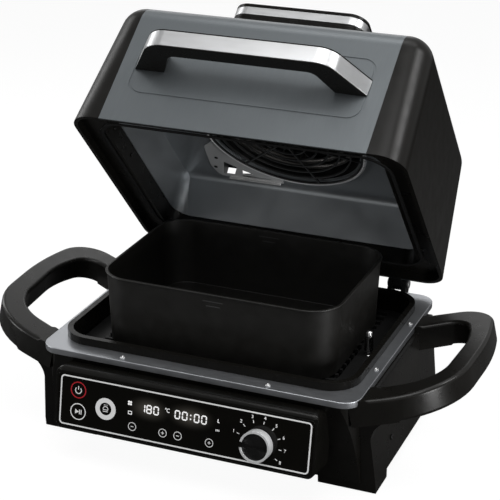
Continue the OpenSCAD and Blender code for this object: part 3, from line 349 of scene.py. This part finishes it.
def dress(name):
    part = nodes[name]
    part.data.materials.clear()
    part.data.materials.append(OWN_FINISH.get(name, FINISHES[slot_of[name]]))
    part.data.shade_smooth()
    weld = part.modifiers.new("weld", "WELD")
    weld.merge_threshold = MERGE
    if name not in PLAIN | KEEP_FACETS:
        flat = part.modifiers.new("flat_faces", "DECIMATE")
        flat.decimate_type = "DISSOLVE"
        flat.angle_limit = FLAT_ANGLE
    if name not in PLAIN:
        ease_edges(part, EDGE.get(name, USUAL_EDGE))
    tidy_normals(part)
    split = part.modifiers.new("split_faces", "TRIANGULATE")
    split.keep_custom_normals = True


for node_name in nodes:
    dress(node_name)


# New pieces: drawn in millimetres and set in place, or taken from a node, in metres
DRAWN_MERGE = 1e-5


def add_piece(name, bm, body, material, place=None):
    bmesh.ops.remove_doubles(bm, verts=bm.verts, dist=DRAWN_MERGE)
    bmesh.ops.recalc_face_normals(bm, faces=bm.faces)
    if place is not None:
        bmesh.ops.transform(bm, matrix=place @ Matrix.Scale(MM, 4), verts=bm.verts)
    piece = add_mesh(name, bm, material)
    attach(piece, body)
    return piece


def node_copy(name):
    bm = bmesh.new()
    bm.from_mesh(nodes[name].data)
    bmesh.ops.remove_doubles(bm, verts=bm.verts, dist=MERGE)
    return bm


def soften(piece, width):
    piece.data.shade_smooth()
    ease_edges(piece, width)
    tidy_normals(piece)


# Flat shapes for print, in millimetres on a plane of their own, and the layer they become
ARC_STEPS = 24
NUMERAL_WEIGHT = 0.12
PRINT_MERGE = 1e-4
PRINT_SUNK, PRINT_PROUD = 0.03, 0.09


def at(x, y, turn=0.0):
    return Matrix.Translation((x, y, 0)) @ Matrix.Rotation(math.radians(turn), 4, "Z")


def flat_ring(bm, place, outer, inner, sides):
    edges = []
    for radius in (outer, inner):
        made = bmesh.ops.create_circle(bm, segments=sides, radius=radius, matrix=place)
        edges += {edge for vert in made["verts"] for edge in vert.link_edges}
    bmesh.ops.bridge_loops(bm, edges=edges)


def flat_disc(bm, place, radius, sides):
    bmesh.ops.create_circle(bm, cap_ends=True, segments=sides, radius=radius, matrix=place)


def flat_bar(bm, place, length, width, corner=0.0, steps=1):
    made = bmesh.ops.create_grid(bm, x_segments=1, y_segments=1, size=0.5)
    bmesh.ops.transform(bm, matrix=place @ Matrix.Diagonal((length, width, 1, 1)), verts=made["verts"])
    if corner:
        bmesh.ops.bevel(bm, geom=made["verts"], offset=corner, offset_type="OFFSET", affect="VERTICES",
                        segments=steps, profile=0.5, material=-1)


def flat_arc(bm, place, radius, width, start, end):
    first = math.radians(start)
    ends = [bm.verts.new(place @ Vector((r * math.cos(first), r * math.sin(first), 0)))
            for r in (radius - width / 2, radius + width / 2)]
    edge = bm.edges.new(ends)
    bmesh.ops.spin(bm, geom=[*ends, edge], cent=place.translation, axis=(0, 0, 1),
                   angle=math.radians(end - start), steps=ARC_STEPS)


def numeral(bm, text, place, size):
    curve = bpy.data.curves.new("numeral", "FONT")
    curve.body = text
    curve.size = size
    curve.offset = NUMERAL_WEIGHT
    curve.align_x = curve.align_y = "CENTER"
    sign = bpy.data.objects.new("numeral", curve)
    flat = bpy.data.meshes.new_from_object(sign)
    flat.transform(place)
    bm.from_mesh(flat)
    bpy.data.objects.remove(sign)
    bpy.data.curves.remove(curve)
    bpy.data.meshes.remove(flat)


def print_layer(bm):
    bmesh.ops.remove_doubles(bm, verts=bm.verts, dist=PRINT_MERGE)
    for face in bm.faces:
        if face.normal.z < 0:
            face.normal_flip()
    grown = bmesh.ops.extrude_face_region(bm, geom=bm.faces[:], use_keep_orig=True)
    top = [item for item in grown["geom"] if isinstance(item, bmesh.types.BMVert)]
    bmesh.ops.translate(bm, vec=(0, 0, PRINT_SUNK + PRINT_PROUD), verts=top)
    bmesh.ops.translate(bm, vec=(0, 0, -PRINT_SUNK), verts=bm.verts)
    return bm


# Mouldings whose main edges are rounded more than the rest: a merged copy takes the wide rounding
SQUARE_ANGLE = math.radians(60)
FACE_TOLERANCE = 0.3 * MM
ROUND_STEPS = 6


def rounded_moulding(name, node, picked, width, rest, cuts=()):
    bm = node_copy(node)
    bmesh.ops.dissolve_limit(bm, angle_limit=FLAT_ANGLE, verts=bm.verts, edges=bm.edges)
    for cut in cuts:
        bmesh.ops.bisect_plane(bm, geom=bm.verts[:] + bm.edges[:] + bm.faces[:], dist=MERGE,
                               plane_co=(cut, 0, 0), plane_no=(1, 0, 0))
    wide = [edge for edge in bm.edges
            if edge.is_convex and edge.calc_face_angle(0) > SQUARE_ANGLE and all(map(picked, edge.verts))]
    bmesh.ops.bevel(bm, geom=wide, offset=width * MM, offset_type="OFFSET", affect="EDGES",
                    segments=ROUND_STEPS, profile=0.5, material=-1)
    piece = add_piece(name, bm, "base", FINISHES[slot_of[node]])
    soften(piece, rest)
    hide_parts(node)


HANDLE_TILT = math.radians(12.9)
HANDLE_ROOT, GUSSET_END = 210 * MM, 246 * MM
HANDLE_ROUND, HANDLE_EDGE = 4.8, 1.0


def side_handle(name, node, side):
    up = Vector((-side * math.sin(HANDLE_TILT), 0, math.cos(HANDLE_TILT)))
    rises = [up.dot(vert.co) for vert in nodes[node].data.vertices if side * vert.co.x > GUSSET_END]
    low, high = min(rises), max(rises)

    def on_loop(vert):
        rise, out = up.dot(vert.co), side * vert.co.x
        return (abs(rise - high) < FACE_TOLERANCE and out > HANDLE_ROOT - MERGE
                or abs(rise - low) < FACE_TOLERANCE and out > GUSSET_END - MERGE)

    rounded_moulding(name, node, on_loop, HANDLE_ROUND, HANDLE_EDGE,
                     (side * HANDLE_ROOT, side * GUSSET_END))


side_handle("left_side_handle", "left_cheek_handle", -1)
side_handle("right_side_handle", "right_cheek_handle", 1)


# Panel plane: x across, y up the face, z out of the glass
PANEL_TILT = math.radians(10.85)
GLASS_HALF = 1.0 * MM
face_up = Vector((0, math.sin(PANEL_TILT), math.cos(PANEL_TILT)))
face_out = Vector((0, -math.cos(PANEL_TILT), math.sin(PANEL_TILT)))
glass_low, glass_high = (Vector(corner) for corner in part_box("panel_glass"))
panel = Matrix((Vector((1, 0, 0)), face_up, face_out)).transposed().to_4x4()
panel.translation = (glass_low + glass_high) / 2 + face_out * GLASS_HALF

PANEL_TOP_BAND = 4.5 * MM
PANEL_ROUND, PANEL_EDGE = 5.5, 1.2


def panel_frame():
    corners = [vert.co for vert in nodes["panel_housing"].data.vertices]
    front = max(face_out.dot(corner) for corner in corners) - FACE_TOLERANCE
    top = max(face_up.dot(corner) for corner in corners if face_out.dot(corner) > front) - PANEL_TOP_BAND

    def on_top(vert):
        return face_out.dot(vert.co) > front and face_up.dot(vert.co) > top

    rounded_moulding("panel_frame", "panel_housing", on_top, PANEL_ROUND, PANEL_EDGE)


panel_frame()


# Turned lines on the dial's face, and the light that leaks round the lit digits
LINE_PITCH = 0.7 * MM
LINE_PRESS = 0.5
WAVE_RATE = 20
# Middle, half width and half height of each glow, in millimetres on the panel plane
GLOW_SPOTS = ((-42, 8.4, 30, 17), (11, 9.0, 34, 17))
GLOW_STRENGTH = 0.07
GLOW_TINT = (1, 0.92, 0.78, 1)


def skin_of(material):
    return next(node for node in material.node_tree.nodes if node.type == "BSDF_PRINCIPLED")


def turned_lines(material, middle):
    tree = material.node_tree
    place = tree.nodes.new("ShaderNodeTexCoord")
    shift = tree.nodes.new("ShaderNodeMapping")
    shift.inputs["Location"].default_value = -middle
    rings = tree.nodes.new("ShaderNodeTexWave")
    rings.wave_type = "RINGS"
    rings.rings_direction = "SPHERICAL"
    rings.inputs["Scale"].default_value = math.tau / (WAVE_RATE * LINE_PITCH)
    press = tree.nodes.new("ShaderNodeBump")
    press.inputs["Strength"].default_value = LINE_PRESS
    press.inputs["Distance"].default_value = BUMP_DEPTH
    link = tree.links.new
    link(place.outputs["Object"], shift.inputs["Vector"])
    link(shift.outputs[0], rings.inputs["Vector"])
    link(rings.outputs["Fac"], press.inputs["Height"])
    link(press.outputs[0], skin_of(material).inputs["Normal"])


def digit_light(material):
    tree = material.node_tree
    link = tree.links.new
    skin = skin_of(material)
    skin.inputs["Emission Color"].default_value = GLOW_TINT
    place = tree.nodes.new("ShaderNodeTexCoord")
    total = None
    for x, y, wide, tall in GLOW_SPOTS:
        spread = Vector((1 / wide, 1 / tall, 1 / tall)) / MM
        middle = panel @ Vector((x * MM, y * MM, 0))
        shift = tree.nodes.new("ShaderNodeMapping")
        shift.inputs["Scale"].default_value = spread
        shift.inputs["Location"].default_value = -middle * spread
        fade = tree.nodes.new("ShaderNodeTexGradient")
        fade.gradient_type = "QUADRATIC_SPHERE"
        level = math_node(tree, "MULTIPLY_ADD", GLOW_STRENGTH)
        level.inputs[2].default_value = 0
        link(place.outputs["Object"], shift.inputs["Vector"])
        link(shift.outputs[0], fade.inputs["Vector"])
        link(fade.outputs["Fac"], level.inputs[0])
        if total is not None:
            link(total.outputs[0], level.inputs[2])
        total = level
    link(total.outputs[0], skin.inputs["Emission Strength"])


cap_low, cap_high = (Vector(corner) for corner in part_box("knob_cap"))
turned_lines(DIAL_FACE, (cap_low + cap_high) / 2)
digit_light(FINISHES["panel_glass"])


# Print on the glass, placed on the panel plane
BORDER_WIDE, BORDER_TALL, BORDER_LINE = 315.5, 61.0, 1.7
BORDER_CORNER, BORDER_STEPS = 5.0, 8
# Rings: middle, outer and inner radius, sides
POWER_RINGS = ((-134.2, 14.5, 10.2, 8.9, 64),)
KEY_RINGS = ((-133.3, -11.9, 10.2, 9.0, 64), (-97.6, -1.9, 13.2, 7.6, 64), (-62.1, -16.5, 5.2, 4.4, 48),
             (-22.9, -16.7, 5.2, 4.4, 48), (-3.8, -16.5, 5.2, 4.4, 48), (35.8, -17.0, 5.2, 4.4, 48))
# Arcs: middle, radius, width, first and last angle
KEY_ARCS = ((-134.2, 14.2, 3.9, 1.1, -225, 45), (-97.6, -2.2, 3.2, 0.9, 0, 180))
# Discs: middle, turn, radius, sides; this one is the start sign's triangle
KEY_DISCS = ((-135.4, -11.9, -90, 3.4, 3),)
# Bars: middle, turn, length, width
KEY_BARS = (
    (-134.2, 17.2, 90, 4.4, 1.1), (-131.4, -11.9, 90, 5.6, 1.2), (-129.2, -11.9, 90, 5.6, 1.2),
    (-97.6, -5.0, 0, 6.6, 0.9), (-97.6, -2.9, 0, 6.6, 0.9), (-99.4, 2.9, 90, 1.6, 0.6),
    (-97.6, 2.9, 90, 1.6, 0.6), (-95.8, 2.9, 90, 1.6, 0.6), (-62.1, -16.5, 0, 3.6, 0.9),
    (-22.9, -16.7, 0, 3.6, 0.9), (-22.9, -15.55, 90, 1.4, 0.9), (-22.9, -17.85, 90, 1.4, 0.9),
    (-3.8, -16.5, 0, 3.6, 0.9), (35.8, -17.0, 0, 3.6, 0.9), (35.8, -15.85, 90, 1.4, 0.9),
    (35.8, -18.15, 90, 1.4, 0.9),
)


def draw_signs(bm, rings=(), arcs=(), discs=(), bars=()):
    for x, y, outer, inner, sides in rings:
        flat_ring(bm, at(x, y), outer, inner, sides)
    for x, y, radius, width, first, last in arcs:
        flat_arc(bm, at(x, y), radius, width, first, last)
    for x, y, turn, radius, sides in discs:
        flat_disc(bm, at(x, y, turn), radius, sides)
    for x, y, turn, length, width in bars:
        flat_bar(bm, at(x, y, turn), length, width)


def add_print(name, bm, material):
    add_piece(name, print_layer(bm), "base", material, panel)


def panel_border():
    bm = bmesh.new()
    flat_bar(bm, at(0, 0), BORDER_WIDE, BORDER_TALL, corner=BORDER_CORNER, steps=BORDER_STEPS)
    rim = bmesh.ops.inset_region(bm, faces=bm.faces[:], thickness=BORDER_LINE, use_boundary=True,
                                 use_even_offset=True)["faces"]
    bmesh.ops.delete(bm, geom=[face for face in bm.faces if face not in rim], context="FACES")
    add_print("panel_border_line", bm, WHITE_PRINT_PAINTED_GLOW)


def key_signs():
    red = bmesh.new()
    draw_signs(red, POWER_RINGS)
    add_print("power_key_ring", red, RED_PRINT)
    bm = bmesh.new()
    draw_signs(bm, KEY_RINGS, KEY_ARCS, KEY_DISCS, KEY_BARS)
    add_print("key_signs", bm, WHITE_PRINT_PAINTED_GLOW)


# Lit digits and small signs of the display
SEGMENTS = {"0": "abcdef", "1": "bc", "8": "abcdefg"}
# Across and up the digit, as shares of its size, and the turn of each segment
SEGMENT_SPOTS = {"a": (0.5, 1, 0), "g": (0.5, 0.5, 0), "d": (0.5, 0, 0), "f": (0, 0.75, 90),
                 "e": (0, 0.25, 90), "b": (1, 0.75, 90), "c": (1, 0.25, 90)}
SEGMENT_GAP, SEGMENT_TAPER = 0.35, 0.45
DIGIT_WIDE, DIGIT_TALL, DIGIT_STROKE = 5.6, 9.2, 1.5
# Each digit with its left edge and its foot
DIGITS = (("1", -53.0, 3.6), ("8", -44.6, 3.6), ("0", -35.6, 3.6),
          ("0", -8.6, 4.3), ("0", 0.6, 4.3), ("0", 15.6, 4.3), ("0", 24.8, 4.3))
# Columns as for the keys: degree ring and unit arc, dots of the colon, then bars of the box sign on
# the left and of two signs on the right
DISPLAY_RINGS = ((-20.6, 13.2, 1.0, 0.5, 24),)
DISPLAY_ARCS = ((-17.2, 11.4, 2.1, 0.7, 50, 310),)
DISPLAY_DOTS = ((10.9, 6.6, 0, 0.95, 16), (10.9, 11.2, 0, 0.95, 16))
DISPLAY_BARS = (
    (-65.8, -1.9, 0, 5.0, 0.8), (-65.8, 1.5, 0, 5.0, 0.8), (-68.0, -0.2, 90, 2.5, 0.7),
    (-63.6, -0.2, 90, 2.5, 0.7), (44.8, 11.1, 90, 4.2, 0.9), (46.0, 9.4, 0, 1.2, 0.9),
    (43.2, -0.2, 90, 2.2, 0.8), (45.0, -0.2, 90, 2.2, 0.8), (46.8, -0.2, 90, 2.2, 0.8),
)
FAN_SIGN, FAN_REACH, FAN_LOBE, LOBE_SIDES = Vector((-66.6, 11.4, 0)), 1.9, 1.25, 16
LOBE_TURNS = (45, 135, 225, 315)


def seven_segments(bm, char, left, foot):
    for segment in SEGMENTS[char]:
        across, up, turn = SEGMENT_SPOTS[segment]
        length = (DIGIT_TALL / 2 if turn else DIGIT_WIDE) - SEGMENT_GAP
        place = at(left + across * DIGIT_WIDE, foot + up * DIGIT_TALL, turn)
        flat_bar(bm, place, length, DIGIT_STROKE, corner=DIGIT_STROKE * SEGMENT_TAPER)


def display_digits():
    bm = bmesh.new()
    for char, left, foot in DIGITS:
        seven_segments(bm, char, left, foot)
    for turn in LOBE_TURNS:
        spot = FAN_SIGN + Matrix.Rotation(math.radians(turn), 3, "Z") @ Vector((FAN_REACH, 0, 0))
        flat_disc(bm, at(spot.x, spot.y), FAN_LOBE, LOBE_SIDES)
    draw_signs(bm, DISPLAY_RINGS, DISPLAY_ARCS, DISPLAY_DOTS, DISPLAY_BARS)
    add_print("display_digits", bm, LIT_DIGITS)


# Numbered scale round the dial, and a black insert in its ring that shows where the dial points
KNOB_X, KNOB_Y = 95.5, -6.6
SCALE_MARKS, FIRST_TURN, TURN_STEP = 8, 162, 27.6
TICK_RADIUS, TICK_LENGTH, TICK_WIDTH = 26.6, 3.4, 0.9
NUMERAL_RADIUS, NUMERAL_SIZE = 32.4, 5.4
POINTER_REACH, POINTER_RISE = 17.05, 10.2
POINTER_SIZE = (2.4, 6.7, 3.3)


def dial_scale():
    bm = bmesh.new()
    middle = Vector((KNOB_X, KNOB_Y))
    for mark in range(SCALE_MARKS):
        turn = FIRST_TURN - TURN_STEP * mark
        way = Vector((math.cos(math.radians(turn)), math.sin(math.radians(turn))))
        tick = middle + way * TICK_RADIUS
        label = middle + way * NUMERAL_RADIUS
        flat_bar(bm, at(tick.x, tick.y, turn), TICK_LENGTH, TICK_WIDTH)
        numeral(bm, str(mark + 1), at(label.x, label.y), NUMERAL_SIZE)
    add_print("dial_scale", bm, WHITE_PRINT_PAINTED_GLOW)


def dial_pointer():
    bm = bmesh.new()
    place = Matrix.Translation((KNOB_X - POINTER_REACH, KNOB_Y, POINTER_RISE))
    bmesh.ops.create_cube(bm, size=1, matrix=place @ Matrix.Diagonal((*POINTER_SIZE, 1)))
    add_piece("dial_pointer", bm, "dial", HANDLE_BLACK, panel)


dial_pointer()
panel_border()
key_signs()
display_digits()
dial_scale()


# Screw heads: domed, with a round recess, in place of the plain heads
HEAD_SIDES = 28
HEAD_WALL = 0.45
# Inset and rise of each step as shares of radius and height: the dome, its flat, then the recess
HEAD_STEPS = ((0.10, 0.26), (0.14, 0.17), (0.20, 0.12), (0.14, 0.0), (0.05, -0.5))


def screw_head(bm, place, radius, height):
    base = bmesh.ops.create_circle(bm, cap_ends=True, segments=HEAD_SIDES, radius=radius, matrix=place)
    face = base["verts"][0].link_faces[0]
    out = (place.to_3x3() @ Vector((0, 0, 1))).normalized()
    if face.normal.dot(out) < 0:
        face.normal_flip()
    grown = bmesh.ops.extrude_face_region(bm, geom=[face], use_keep_orig=True)["geom"]
    top = next(item for item in grown
               if isinstance(item, bmesh.types.BMFace) and len(item.verts) == HEAD_SIDES)
    bmesh.ops.translate(bm, vec=out * height * HEAD_WALL, verts=top.verts[:])
    for share, rise in HEAD_STEPS:
        bmesh.ops.inset_region(bm, faces=[top], thickness=radius * share, depth=0)
        bmesh.ops.translate(bm, vec=out * height * rise, verts=top.verts[:])


def loose_parts(name):
    bm = node_copy(name)
    left = set(bm.verts)
    parts = []
    while left:
        stack = [left.pop()]
        island = list(stack)
        while stack:
            for edge in stack.pop().link_edges:
                for vert in edge.verts:
                    if vert in left:
                        left.remove(vert)
                        stack.append(vert)
                        island.append(vert)
        parts.append([vert.co.copy() for vert in island])
    bm.free()
    return parts


def screw_heads(name, node, out, body, slot):
    bm = bmesh.new()
    for points in loose_parts(node):
        middle = sum(points, Vector()) / len(points)
        way = Vector(out(middle)).normalized()
        depths = [(point - middle).dot(way) for point in points]
        low, high = min(depths), max(depths)
        radius = max(((point - middle) - way * (point - middle).dot(way)).length for point in points)
        turn = way.to_track_quat("Z", "Y").to_matrix().to_4x4()
        place = Matrix.Translation((middle + way * low) / MM) @ turn
        screw_head(bm, place, radius / MM, (high - low) / MM)
    piece = add_piece(name, bm, body, FINISHES[slot], Matrix.Identity(4))
    piece.data.shade_smooth()
    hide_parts(node)


HOOD_OPEN = math.radians(47.5)
hood_up = Vector((0, math.sin(HOOD_OPEN), math.cos(HOOD_OPEN)))


def upward(_):
    return (0, 0, 1)


def outward(middle):
    return (math.copysign(1, middle.x), 0, 0)


def inward(middle):
    return (-math.copysign(1, middle.x), 0, 0)


def into_hood_mouth(_):
    return -hood_up


screw_heads("rim_screw_heads", "rim_screws", upward, "base", "screw_steel")
screw_heads("cheek_screw_heads", "cheek_screws", outward, "base", "dark_steel")
screw_heads("lid_frame_screw_heads", "lid_frame_screws", inward, "hood", "dark_steel")
screw_heads("bracket_screw_heads", "bracket_screws", into_hood_mouth, "hood", "dark_steel")


# Hatch: the bright band runs along the upper part of its seat, black below
HATCH_STRIP = 4.2 * MM
HATCH_EDGE = 0.6


def hatch_trim():
    foot = min(hood_up.dot(vert.co) for vert in nodes["hatch_band"].data.vertices)
    for name, above in (("hatch_bright_band", True), ("hatch_black_strip", False)):
        bm = node_copy("hatch_band")
        cut = bmesh.ops.bisect_plane(bm, geom=bm.verts[:] + bm.edges[:] + bm.faces[:], dist=MERGE,
                                     plane_co=hood_up * (foot + HATCH_STRIP), plane_no=hood_up,
                                     clear_inner=above, clear_outer=not above)
        rim = [item for item in cut["geom_cut"] if isinstance(item, bmesh.types.BMEdge)]
        bmesh.ops.holes_fill(bm, edges=rim)
        slot = slot_of["hatch_band" if above else "smoke_hatch"]
        piece = add_piece(name, bm, "hatch", FINISHES[slot] if above else HANDLE_BLACK)
        soften(piece, HATCH_EDGE)
        if above:
            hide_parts("hatch_band")


hatch_trim()


# Probe: a turned piece with a domed bright tip, a groove and a stepped foot
# Distance from the axis and height, as shares of the probe's radius and height
PROBE_PROFILE = ((0.0, 0.0), (1.0, 0.0), (1.0, 0.40), (0.94, 0.42), (0.94, 0.56), (0.72, 0.58),
                 (0.72, 0.64), (0.94, 0.66), (0.96, 0.86), (0.88, 0.93), (0.66, 0.98), (0.34, 1.0),
                 (0.0, 1.0))
PROBE_SIDES = 36
PROBE_EDGE = 0.25


def turned_probe():
    low, high = (Vector(corner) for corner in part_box("temperature_probe"))
    middle = (low + high) / 2
    radius, height = (high.x - low.x) / 2, high.z - low.z
    bm = bmesh.new()
    verts = [bm.verts.new((middle.x + radius * out, middle.y, low.z + height * up))
             for out, up in PROBE_PROFILE]
    edges = [bm.edges.new(pair) for pair in zip(verts, verts[1:])]
    bmesh.ops.spin(bm, geom=verts + edges, cent=(middle.x, middle.y, 0), axis=(0, 0, 1), angle=math.tau,
                   steps=PROBE_SIDES, use_merge=True)
    piece = add_piece("turned_probe", bm, "base", PROBE_STEEL)
    piece.data.shade_smooth()
    ease_edges(piece, PROBE_EDGE, "MITER_SHARP")
    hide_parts("temperature_probe")


turned_probe()


# Level lines on the pot, laid where a ray to the rear meets its wall: the outer lines' rays start
# in front of the pot, the inner lines' rays in its middle
# Name, start of the rays in metres, then place across, height over the rim and length of each line
POT_LINES = (
    ("pot_outer_lines", -0.4, ((2.5, 68, 26), (2.5, 62, 18))),
    ("pot_inner_lines", 0.0, ((-10, 70, 28), (-10, 64, 18))),
)
POT_LINE_WIDTH, POT_LINE_CORNER, POT_LINE_STEPS = 1.3, 0.5, 3


def pot_lines():
    pot = nodes["cooking_pot"].data
    walls = BVHTree.FromPolygons([vert.co for vert in pot.vertices],
                                 [face.vertices for face in pot.polygons])
    across = Vector((1, 0, 0))
    for name, start, spots in POT_LINES:
        bm = bmesh.new()
        for x, rise, length in spots:
            origin = rim_middle + Vector((x * MM, start, rise * MM))
            point, normal, _, _ = walls.ray_cast(origin, Vector((0, 1, 0)))
            if normal.y > 0:
                normal = -normal
            place = Matrix((across, normal.cross(across), normal)).transposed().to_4x4()
            place.translation = point
            line = bmesh.new()
            flat_bar(line, at(0, 0), length, POT_LINE_WIDTH, corner=POT_LINE_CORNER, steps=POT_LINE_STEPS)
            print_layer(line)
            bmesh.ops.transform(line, matrix=place @ Matrix.Scale(MM, 4), verts=line.verts)
            flat = bpy.data.meshes.new(name)
            line.to_mesh(flat)
            line.free()
            bm.from_mesh(flat)
            bpy.data.meshes.remove(flat)
        add_piece(name, bm, "pot", GREY_MARK)


pot_lines()
